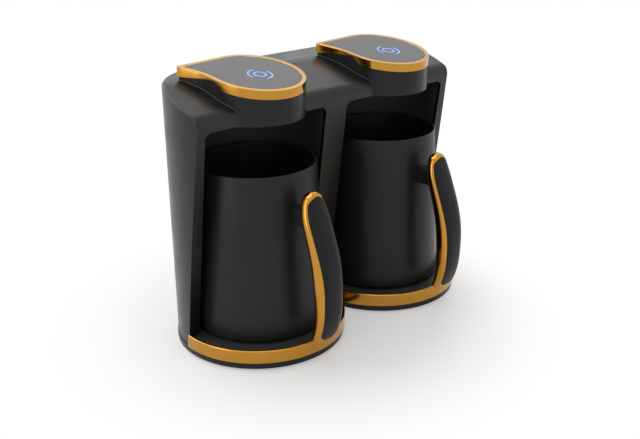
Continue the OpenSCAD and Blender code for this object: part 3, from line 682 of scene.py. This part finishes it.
# %% Bright rim
rim_w, skirt_t, lip_deep = 3.2, 1.4, 1.2
soft, roll_r, roll_mid = 0.25, 0.45, 0.13
rim = loft("left_head_rim", [
    drop(head_r - skirt_t, skirt), drop(head_r - soft, skirt), drop(head_r, lambda y: skirt(y) + soft),
    drop(head_r, under(roll_r)), drop(head_r - roll_mid, under(roll_mid)), drop(head_r - roll_r, under(0)),
    drop(head_r - rim_w + soft, under(0)), drop(head_r - rim_w, under(soft)),
    drop(head_r - rim_w, under(lip_deep)), drop(head_r - skirt_t, under(lip_deep))], closed=True)
both(rim, gold, "machine", "head_rim")

# %% Head shell
shell_r, shell_wall, ledge = 33.4, 2.4, 2.6
shell_roll, shell_mid, skirt_gap = 0.8, 0.23, 0.03
rim_gap, hole_gap = 0.1, 0.05
tongue_r, hole_r = head_r - skirt_t - rim_gap, head_r - rim_w + hole_gap
tongue_top, glass_seat, ledge_under, roof_under = lip_deep + rim_gap, 2.1, 3.5, 5.5


def below_skirt(y):
    """Height of the shell's shoulder, just below the rim's skirt."""
    return skirt(y) - skirt_gap


shell = loft("left_head_shell", [
    drop(shell_r - shell_wall, level(bay_top)), drop(shell_r - shell_roll, level(bay_top)),
    drop(shell_r - shell_mid, level(bay_top + shell_mid)), drop(shell_r, level(bay_top + shell_roll)),
    drop(shell_r, below_skirt), drop(tongue_r, below_skirt),
    drop(tongue_r, under(tongue_top)), drop(hole_r, under(tongue_top)),
    drop(hole_r, under(glass_seat)), drop(head_r - rim_w - ledge, under(glass_seat)),
    drop(head_r - rim_w - ledge, under(ledge_under)), drop(shell_r - shell_wall, under(roof_under))],
    closed=True)
both(shell, satin_black, "machine", "head_shell")

# %% Glass
glass_gap = 0.12
glass_r = head_r - rim_w - glass_gap
glass_rings = ((0, 2.0), (0, 0.45), (0.1, 0.17), (0.45, 0.05), (glass_r / 2, 0.05))
glass = loft("left_touch_glass", [drop(glass_r - inset, under(depth)) for inset, depth in glass_rings])
both(glass, panel_glass, "machine", "touch_glass")

# %% [markdown]
# ## Bright bands
# The band round the front of a lobe is a plated strip with a rounded lip. It is a full ring first,
# and is then cut off where it meets the leaning face, with a slip gap, as the fitter would trim it.

# %% Bands
band_r, band_t, face_gap = 62.2, 2.4, 0.1
band_soft, lip_r, lip_mid, lip_step = 0.2, 0.9, 0.45, 0.12
band_points = 192


def trim_at_face(piece, gap):
    """Cut off a piece behind the leaning front face, with a gap, and close the cut."""
    edit(piece)
    bpy.ops.mesh.select_all(action="SELECT")
    bpy.ops.mesh.bisect(plane_co=at(0, face(0) - gap, 0), plane_no=(0, math.cos(lean), math.sin(lean)),
                        use_fill=True, clear_outer=True, clear_inner=False)
    bpy.ops.object.mode_set(mode="OBJECT")


lip = ((0, lip_r), (lip_step, lip_mid), (lip_mid, lip_step), (lip_r, 0))
band_rings = [(band_t, base_z), (band_soft, base_z), (0, base_z + band_soft)]
band_rings += [(inset, band_top - down) for inset, down in lip]
band_rings += [(band_t - inset, band_top - down) for inset, down in lip[::-1]]
band = loft("left_base_band", [circle(band_r - inset, z, band_points) for inset, z in band_rings],
            closed=True)
trim_at_face(band, face_gap)
both(band, gold, "machine", "base_band")

# %% [markdown]
# ## Casing
# The casing is one moulded shell: a block with round ends, leaned back at the front and cut off by a
# falling roof. Two simple solids that cross give exactly that. The first is grown from the plan and
# already carries the soft roll round its roof edge: its rings step inwards and up, each at the
# height of the roof above it. The second is the side view, drawn out along the row. Where the second
# dips below the first, at the shoulder, the roll fades into the tight front crease by itself.

# %% Outlines with round corners
def arms(path, i):
    """A corner of a closed outline and the directions to its two neighbours."""
    here = Vector(path[i][:2])
    return (here, (Vector(path[i - 1][:2]) - here).normalized(),
            (Vector(path[(i + 1) % len(path)][:2]) - here).normalized())


def rounded(path, steps=12):
    """Points of a closed outline whose corners are given as (across, up, radius)."""
    out = []
    for i, (across, up, radius) in enumerate(path):
        if radius == 0:
            out.append((across, up))
            continue
        here, a, b = arms(path, i)
        half = a.angle(b) / 2
        middle = here + (a + b).normalized() * radius / math.sin(half)
        start = here + a * radius / math.tan(half) - middle
        end = here + b * radius / math.tan(half) - middle
        turn = math.atan2(start.x * end.y - start.y * end.x, start.dot(end))
        first = math.atan2(start.y, start.x)
        out += [(middle.x + radius * math.cos(first + turn * k / steps),
                 middle.y + radius * math.sin(first + turn * k / steps)) for k in range(steps + 1)]
    return out


def set_in(corners, distance):
    """Move every side of an outline of (across, up, radius) inwards, and tighten its corners."""
    out = []
    for i, (_, _, radius) in enumerate(corners):
        here, a, b = arms(corners, i)
        spot = here + (a + b).normalized() * distance / math.sin(a.angle(b) / 2)
        out.append((spot.x, spot.y, max(0, radius - distance) if radius else 0))
    return out


casing_r, casing_wall = 60.8, 2.8
roof_break, shoulder_r, blend_r = 28, 9, 30
shoulder_z = (top_z - math.tan(fall) * (roof_break - face_foot)) / (1 + math.tan(fall) * math.tan(lean))
beyond = 5
side_view = [(face(-beyond), -beyond, 0), (face(shoulder_z), shoulder_z, shoulder_r),
             (roof_break, top_z, blend_r), (casing_r + beyond, top_z, 0), (casing_r + beyond, -beyond, 0)]
print("shoulder height:", round(shoulder_z, 1), "mm")


# %% The two solids that cross
end_steps = 96


def plan_ring(radius, height):
    """The round-ended plan of the machine, each point at the height for its place."""
    left = [(radius * math.cos(a), radius * math.sin(a)) for a in
            (math.radians(270 - 180 * i / end_steps) for i in range(end_steps + 1))]
    return [at(x, y, height(y)) for x, y in left + [(pitch - x, -y) for x, y in left]]


def side_bar(corners):
    """The side view as a solid, longer than the machine."""
    outline = rounded(corners)
    return loft("side_view", [[at(x, y, z) for y, z in outline]
                              for x in (-casing_r - beyond, pitch + casing_r + beyond)])


def roof(y):
    """Height of the roof over a place, with its falling part drawn out to the front."""
    half_blend = blend_r * math.tan(fall / 2)
    if y <= roof_break - half_blend * math.cos(fall):
        return top_z - math.tan(fall) * (roof_break - y)
    if y >= roof_break + half_blend:
        return top_z
    return top_z - blend_r + math.sqrt(blend_r ** 2 - (roof_break + half_blend - y) ** 2)


print("roof at the front and at the back:", round(roof(face(top_z)), 1), round(roof(casing_r), 1))

# %% Casing block with a rolled roof edge
roof_roll, roll_steps, proud = 3.0, 8, 0.02
above, below = 8, 2
rings = [plan_ring(casing_r, level(base_z))]
for k in range(roll_steps + 1):
    turn = math.pi / 2 * k / roll_steps
    down = roof_roll * (1 - math.sin(turn)) - proud
    rings.append(plan_ring(casing_r - roof_roll * (1 - math.cos(turn)), lambda y: roof(y) - down))
rings.append(plan_ring(casing_r - roof_roll, level(top_z + above)))
casing = loft("casing_shell", rings)
cut(casing, side_bar(side_view), "INTERSECT")
print("casing block:", len(casing.data.polygons), "faces")

# %% Hollow, mouths, head openings and the notch for the cord gland
bay_r, mouth_r, opening_gap, past = 52.4, 5.5, 0.15, 1
notch_w, notch_z = 6.1, 22.1
inside = loft("inside", [plan_ring(casing_r - casing_wall, level(base_z - below)),
                         plan_ring(casing_r - casing_wall, level(top_z + above))])
cut(inside, side_bar(set_in(side_view, casing_wall)), "INTERSECT")
cut(casing, inside)
mouth = rounded([(-bay_r, -beyond, 0), (-bay_r, bay_top, mouth_r), (bay_r, bay_top, mouth_r),
                 (bay_r, -beyond, 0)], steps=8)
for x in (0, pitch):
    front, rear = -casing_r - beyond, face(0) + casing_wall + past
    cut(casing, loft("mouth", [[at(x + px, y, pz) for px, pz in mouth] for y in (front, rear)]))
opening_r = shell_r + opening_gap
for x in (0, pitch):
    tool = loft("head_opening", [drop(opening_r, level(bay_top - past)),
                                 drop(opening_r, level(top_z + beyond))])
    tool.data.transform(Matrix.Translation((x * MM, 0, 0)))
    cut(casing, tool)
notch_low = base_z - below
notch_size = Vector((2 * notch_w, 3 * casing_wall, notch_z - notch_low)) * MM
bpy.ops.mesh.primitive_cube_add(size=1, location=at(pitch / 2, casing_r, (notch_low + notch_z) / 2),
                                scale=notch_size)
cut(casing, bpy.context.object)
print("faces after the cuts:", len(casing.data.polygons))

# %% Soft edges round the mouths
mouth_soft, close = 0.7, 0.03
above_base, past_corner = 0.05, 0.1
sharp_over = math.radians(40)


def on_mouth_edge(edge):
    """Edges on the front face that border a mouth."""
    for v in edge.verts:
        y, z = v.co.y / MM - station_y, v.co.z / MM
        if abs(y - face(z)) > close or z < base_z + above_base or z > bay_top + close:
            return False
        x = (v.co.x / MM + pitch) % pitch - pitch / 2
        if abs(abs(x) - bay_r) > mouth_r + past_corner and abs(z - bay_top) > close:
            return False
    return len(edge.link_faces) == 2 and edge.calc_face_angle() > sharp_over


edit(casing)
count = pick_edges(casing, on_mouth_edge)
bpy.ops.mesh.bevel(offset=mouth_soft * MM, offset_type="OFFSET", segments=3, profile=0.5, clamp_overlap=False)
bpy.ops.object.mode_set(mode="OBJECT")
print("mouth edges softened:", count)

# %% [markdown]
# ## Collars at the heads
# Where a head grows out of the casing, the mould leaves a small hollow fillet, never a sharp corner.
# Behind the head it has to be smaller still, where the rim hangs close above the flat top. A bevel
# can't do that, so the fillet is a loft: rings are set along the line where head and casing meet,
# and each ring bends from the head's side to the casing's surface.

# %% Where head and casing meet
outline = rounded(side_view, steps=24)
lowest = min(range(len(outline)), key=lambda i: outline[i][0])
front_line = outline[:lowest + 1]
roof_line = outline[lowest:-1]


def along_line(line, value, axis):
    """Place and outward normal of the side view, where it has a value on one axis."""
    for (y0, z0), (y1, z1) in zip(line, line[1:]):
        a, b = ((y0, y1), (z0, z1))[axis]
        if min(a, b) - tiny <= value <= max(a, b) + tiny and a != b:
            k = (value - a) / (b - a)
            run = Vector((y1 - y0, z1 - z0)).normalized()
            return y0 + (y1 - y0) * k, z0 + (z1 - z0) * k, Vector((0, -run.y, run.x))
    return None


plan = [(p.x / MM + pitch / 2, p.y / MM - station_y) for p in drop(shell_r, level(0))]
plan_normals = []
for i in range(len(plan)):
    (xa, ya), (xb, yb) = plan[i - 1], plan[(i + 1) % len(plan)]
    plan_normals.append(Vector((yb - ya, xa - xb, 0)).normalized())


def crossing(y, side):
    """Where the head's plan crosses a distance y in front, on its left (-1) or right (1) side."""
    best = None
    for i in range(len(plan)):
        (xa, ya), (xb, yb) = plan[i], plan[(i + 1) % len(plan)]
        if min(ya, yb) <= y <= max(ya, yb) and ya != yb:
            k = (y - ya) / (yb - ya)
            x = xa + (xb - xa) * k
            if (x - head_x) * side > 0 and (best is None or abs(x) > abs(best[0])):
                n = (plan_normals[i] * (1 - k) + plan_normals[(i + 1) % len(plan)] * k).normalized()
                best = (x, y, n)
    return best


print("turning point of the shoulder:", [round(c, 2) for c in roof_line[0]])

# %% Collar rings
reach_out, least_reach, free_share = 0.6, 0.3, 0.8
sunk, corner_sunk = 0.35, 0.5
rise_steps, hollow_steps = 8, 8
behind_turn, sort_y = 0.05, -20


def meeting():
    """Places along the joint, from the mouth on the left, round the back, to the mouth on the right."""
    spots = []
    turn_y, turn_z = roof_line[0]
    for k in range(rise_steps + 1):
        z = bay_top + (turn_z - bay_top) * k / rise_steps
        y, _, n = along_line(front_line, z, 1)
        spots.append((y, z, n))
    left = [(crossing(y, -1), z, n) for y, z, n in spots]
    right = [(crossing(y, 1), z, n) for y, z, n in spots]
    rest = []
    for (x, y), normal in zip(plan, plan_normals):
        if y > turn_y + behind_turn:
            _, z, n = along_line(roof_line, y, 0)
            rest.append(((x, y, normal), z, n))
    rest.sort(key=lambda spot: math.atan2(spot[0][0] - head_x, spot[0][1] - sort_y))
    return left + rest + right[::-1]


def collar_ring(spot):
    """From the head's side, round the hollow, to the casing's surface, and back through the corner."""
    (x, y, side_n), z, top_n = spot
    here = Vector((x, y, z))
    along_head = (top_n - side_n * top_n.dot(side_n)).normalized()
    along_top = (side_n - top_n * side_n.dot(top_n)).normalized()
    size = max(least_reach, min(reach_out, (skirt(y) - z) * free_share))
    points = [here + along_head * size - side_n * sunk]
    for k in range(hollow_steps + 1):
        t = k / hollow_steps
        points.append(here + along_head * size * (1 - t) ** 2 + along_top * size * t ** 2)
    points.append(here + along_top * size - top_n * sunk)
    points.append(here - side_n * corner_sunk - top_n * corner_sunk)
    return [at(*p) for p in points]


joint = meeting()
print("rings in a collar:", len(joint))
collar = loft("left_collar", [collar_ring(spot) for spot in joint])
other = twin(collar, "right_collar")
hold(casing)
collar.select_set(True)
other.select_set(True)
bpy.ops.object.join()
casing.name = casing.data.name = "casing_shell"
settle(casing, casing_black, "machine", "casing")

# %% [markdown]
# ## Softened mouldings
# Pieces such as the tray, the decks and the gland already have the right shape in the frame, but a
# moulded or turned part never has a knife edge. A copy of each is merged, its flat triangles are
# joined back into faces, and a narrow bevel rounds the edges, so that they catch a line of light.

# %% Refine a copy of a piece of the frame
merge_within, flat_within = 2e-6, math.radians(0.8)


def refine(node, name, width, material, body):
    """Copy a node's mesh, clean it, soften its edges, and let the copy stand for the node."""
    clear()
    piece = bpy.data.objects.new(name, frame["nodes"][node].data.copy())
    piece.data.name = name
    bpy.context.scene.collection.objects.link(piece)
    piece.matrix_world = frame["nodes"][node].matrix_world
    hold(piece)
    bpy.ops.object.transform_apply(location=True, rotation=True, scale=True)
    edit(piece)
    bpy.ops.mesh.select_mode(type="VERT")
    bpy.ops.mesh.select_all(action="SELECT")
    bpy.ops.mesh.remove_doubles(threshold=merge_within)
    bpy.ops.mesh.dissolve_limited(angle_limit=flat_within)
    bpy.ops.object.mode_set(mode="OBJECT")
    modify(piece, "BEVEL", width=width * MM, segments=3, limit_method="ANGLE",
           angle_limit=sharp_over, use_clamp_overlap=False)
    edit(piece)
    bpy.ops.mesh.select_all(action="SELECT")
    bpy.ops.mesh.dissolve_degenerate(threshold=merge_within)
    bpy.ops.object.mode_set(mode="OBJECT")
    settle(piece, material, body, node)
    print(name, len(piece.data.polygons), "faces")


# %% [markdown]
# ## Turned heating plates
# A heating plate is faced on a lathe, which leaves rings round its middle. They could be cut as
# grooves, but they are far finer than the plate's edge, so they are a finish: noise that depends only
# on the distance from the middle, in gloss and in bump. Each plate has its own middle and finish.

# %% Turned steel
plate_scale, plate_gloss, groove = 600, (0.22, 0.42), 0.00004


def turned(name, middle):
    """Steel with rings of gloss and fine grooves round a middle."""
    made = finish(name, (0.5, 0.5, 0.51), 0.3, metal=1.0, grain=(1200, 0.000001))
    tree, join = made.node_tree, made.node_tree.links.new
    places = add_node(tree, "TexCoord")
    flat = add_node(tree, "Mapping", Location=(-middle.x, -middle.y, 0), Scale=(1, 1, 0))
    join(places.outputs["Object"], flat.inputs["Vector"])
    radius = add_node(tree, "VectorMath")
    radius.operation = "LENGTH"
    join(flat.outputs["Vector"], radius.inputs[0])
    rings = add_node(tree, "TexNoise", Scale=plate_scale, Detail=2)
    rings.noise_dimensions = "1D"
    join(radius.outputs["Value"], rings.inputs["W"])
    gloss = add_node(tree, "MapRange", From_Min=noise_low, From_Max=noise_high,
                     To_Min=plate_gloss[0], To_Max=plate_gloss[1])
    join(rings.outputs["Fac"], gloss.inputs["Value"])
    grooves = add_node(tree, "Bump", Strength=0.6, Distance=groove)
    join(rings.outputs["Fac"], grooves.inputs["Height"])
    shader = tree.nodes["Principled BSDF"]
    join(gloss.outputs[0], shader.inputs["Roughness"])
    join(grooves.outputs["Normal"], shader.inputs["Normal"])
    return made


turned_steel = {"left": turned("turned_plate_steel_left", station),
                "right": turned("turned_plate_steel_right", station + Vector((pitch * MM, 0, 0)))}
print("turned finishes:", [made.name for made in turned_steel.values()])

# %% Tray, gland, feet and the pieces of both bays
refine("base_tray", "tray", 0.4, satin_black, "machine")
refine("cord_gland", "gland", 0.35, matt_rubber, "machine")
refine("feet", "rubber_feet", 0.3, matt_rubber, "machine")
for side in ("left", "right"):
    for node, width, material, slot, body in (
            ("deck", 0.3, liner_black, "black_plastic", "machine"),
            ("bay_liner", 0.3, liner_black, "black_plastic", "machine"),
            ("heating_plate", 0.3, turned_steel[side], "plain_steel", "machine"),
            ("plate_seal", 0.2, matt_rubber, "black_rubber", "machine"),
            ("head_cover", 0.3, satin_black, "black_plastic", "machine"),
            ("foam_sensor", 0.5, module_grey, "dark_plastic", "machine"),
            ("pot_disc", 0.3, steel, "plain_steel", "pot_" + side),
            ("handle_neck", 0.5, satin_black, "black_plastic", "pot_" + side)):
        refine(f"{node}_{side}", f"{side}_{node}", width, material, body)

# %% [markdown]
# ## Head covers
# Each head is closed from below by a cover with the drop's outline. The shells have a drawn-in left
# flank, so the covers follow it: each point moves as a point of the drop does, and no gap opens.

# %% Bring the head covers to the drawn-in flank
for side, shift in (("left", 0), ("right", pitch)):
    lid = bpy.data.objects[side + "_head_cover"]
    for vertex in lid.data.vertices:
        x = vertex.co.x / MM + pitch / 2 - shift - head_x
        y = vertex.co.y / MM - station_y - head_y
        new_x, new_y = sway(x, y)
        vertex.co.x += (new_x - x) * MM
        vertex.co.y += (new_y - y) * MM
    print(lid.name, "follows the flank")

# %% [markdown]
# ## Studio
# A plain pale floor under four soft lamps: a wide one above, a wide one behind, a weak one behind on
# the right, and a weak strip on the left that runs a sheen down the casing's side. The world is white
# to the camera and to reflections, and lower for the fill light, so that dark plastic stays dark.
# Away from the machine the floor turns as white as the world. Near it, a painted grey pool adds to the real
# shadow.

# %% Floor
floor_r, floor_drop = 3.0, 0.0001
clear()
bpy.ops.mesh.primitive_circle_add(vertices=96, radius=floor_r, fill_type="NGON",
                                  location=(0, 0, -floor_drop))
floor = bpy.context.object
floor.name = floor.data.name = "studio_floor"
paper = bpy.data.materials.new("pale_floor")
paper.use_nodes = True
floor.data.materials.append(paper)
sheet = paper.node_tree.nodes["Principled BSDF"]
sheet.inputs["Base Color"].default_value = (0.84, 0.84, 0.84, 1)
sheet.inputs["Roughness"].default_value = 0.5
sheet.inputs["Specular IOR Level"].default_value = 0.2
print("floor:", round(2 * floor_r, 1), "m across")

# %% White away from the machine
# Near the shadow middle, a little to the left, the floor shows less white: painted shade on top of the real
# shadow.
white_near, white_far = 0.36, 1.0
shadow_middle, shadow_from, shadow_to = (-0.02, 0.01, 0.0), 0.09, 0.20


def seen_rays(tree):
    """1 for camera, glossy and transmission rays, else 0."""
    ray = add_node(tree, "LightPath")
    last = ray.outputs["Is Camera Ray"]
    for kind in ("Is Glossy Ray", "Is Transmission Ray"):
        either = add_node(tree, "Math")
        either.operation = "MAXIMUM"
        tree.links.new(last, either.inputs[0])
        tree.links.new(ray.outputs[kind], either.inputs[1])
        last = either.outputs[0]
    return last


def mix_to(tree, share, first, second, end):
    """Mix two shaders by a share and lead them to the end of the tree."""
    mixed = add_node(tree, "MixShader")
    tree.links.new(share, mixed.inputs[0])
    tree.links.new(first.outputs[0], mixed.inputs[1])
    tree.links.new(second.outputs[0], mixed.inputs[2])
    tree.links.new(mixed.outputs[0], tree.nodes[end].inputs["Surface"])


tree = paper.node_tree
where = add_node(tree, "TexCoord")
distance = add_node(tree, "VectorMath")
distance.operation = "DISTANCE"
distance.inputs[1].default_value = shadow_middle
tree.links.new(where.outputs["Object"], distance.inputs[0])
# The fade lowers the white share towards the middle, which paints a grey pool of shade round the machine.
fade = add_node(tree, "MapRange", From_Min=shadow_from, From_Max=shadow_to,
                To_Min=white_near, To_Max=white_far)
fade.interpolation_type = "SMOOTHSTEP"
tree.links.new(distance.outputs["Value"], fade.inputs["Value"])
amount = add_node(tree, "Math")
amount.operation = "MULTIPLY"
tree.links.new(fade.outputs[0], amount.inputs[0])
tree.links.new(seen_rays(tree), amount.inputs[1])
mix_to(tree, amount.outputs[0], sheet, add_node(tree, "Emission"), "Material Output")
print("share of white near and far:", white_near, white_far)


# %% Lamps
def lamp(name, place, target, size, power, size_y=None):
    """Add a soft area lamp that looks at a point."""
    light = bpy.data.lights.new(name, "AREA")
    light.shape = "RECTANGLE"
    light.size = size
    light.size_y = size_y or size
    light.energy = power
    thing = bpy.data.objects.new(name, light)
    bpy.context.scene.collection.objects.link(thing)
    thing.location = place
    thing.rotation_mode = "QUATERNION"
    thing.rotation_quaternion = (Vector(target) - Vector(place)).to_track_quat("-Z", "Y")


lamp("key_lamp", (0.85, 0.62, 1.25), (0, 0, 0.12), 1.0, 1.6)
lamp("top_lamp", (-0.2, 0.1, 1.6), (0, 0, 0.1), 1.4, 8)
lamp("back_lamp", (-0.5, 1.1, 1.0), (0, 0, 0.12), 1.6, 11)
lamp("side_strip", (-1.1, 0.05, 0.40), (0, 0, 0.1), 0.5, 2.2, size_y=0.8)

# %% World
fill_light, seen_white = 0.48, 1.0
world = bpy.data.worlds.new("studio")
bpy.context.scene.world = world
world.use_nodes = True
tree = world.node_tree
fill = tree.nodes["Background"]
fill.inputs["Color"].default_value = (1, 1, 1, 1)
fill.inputs["Strength"].default_value = fill_light
bright = add_node(tree, "Background", Color=(1, 1, 1, 1), Strength=seen_white)
mix_to(tree, seen_rays(tree), fill, bright, "World Output")
bpy.context.scene.view_settings.view_transform = "Standard"
print("world strengths:", fill_light, seen_white)

# %% Finish
clear()
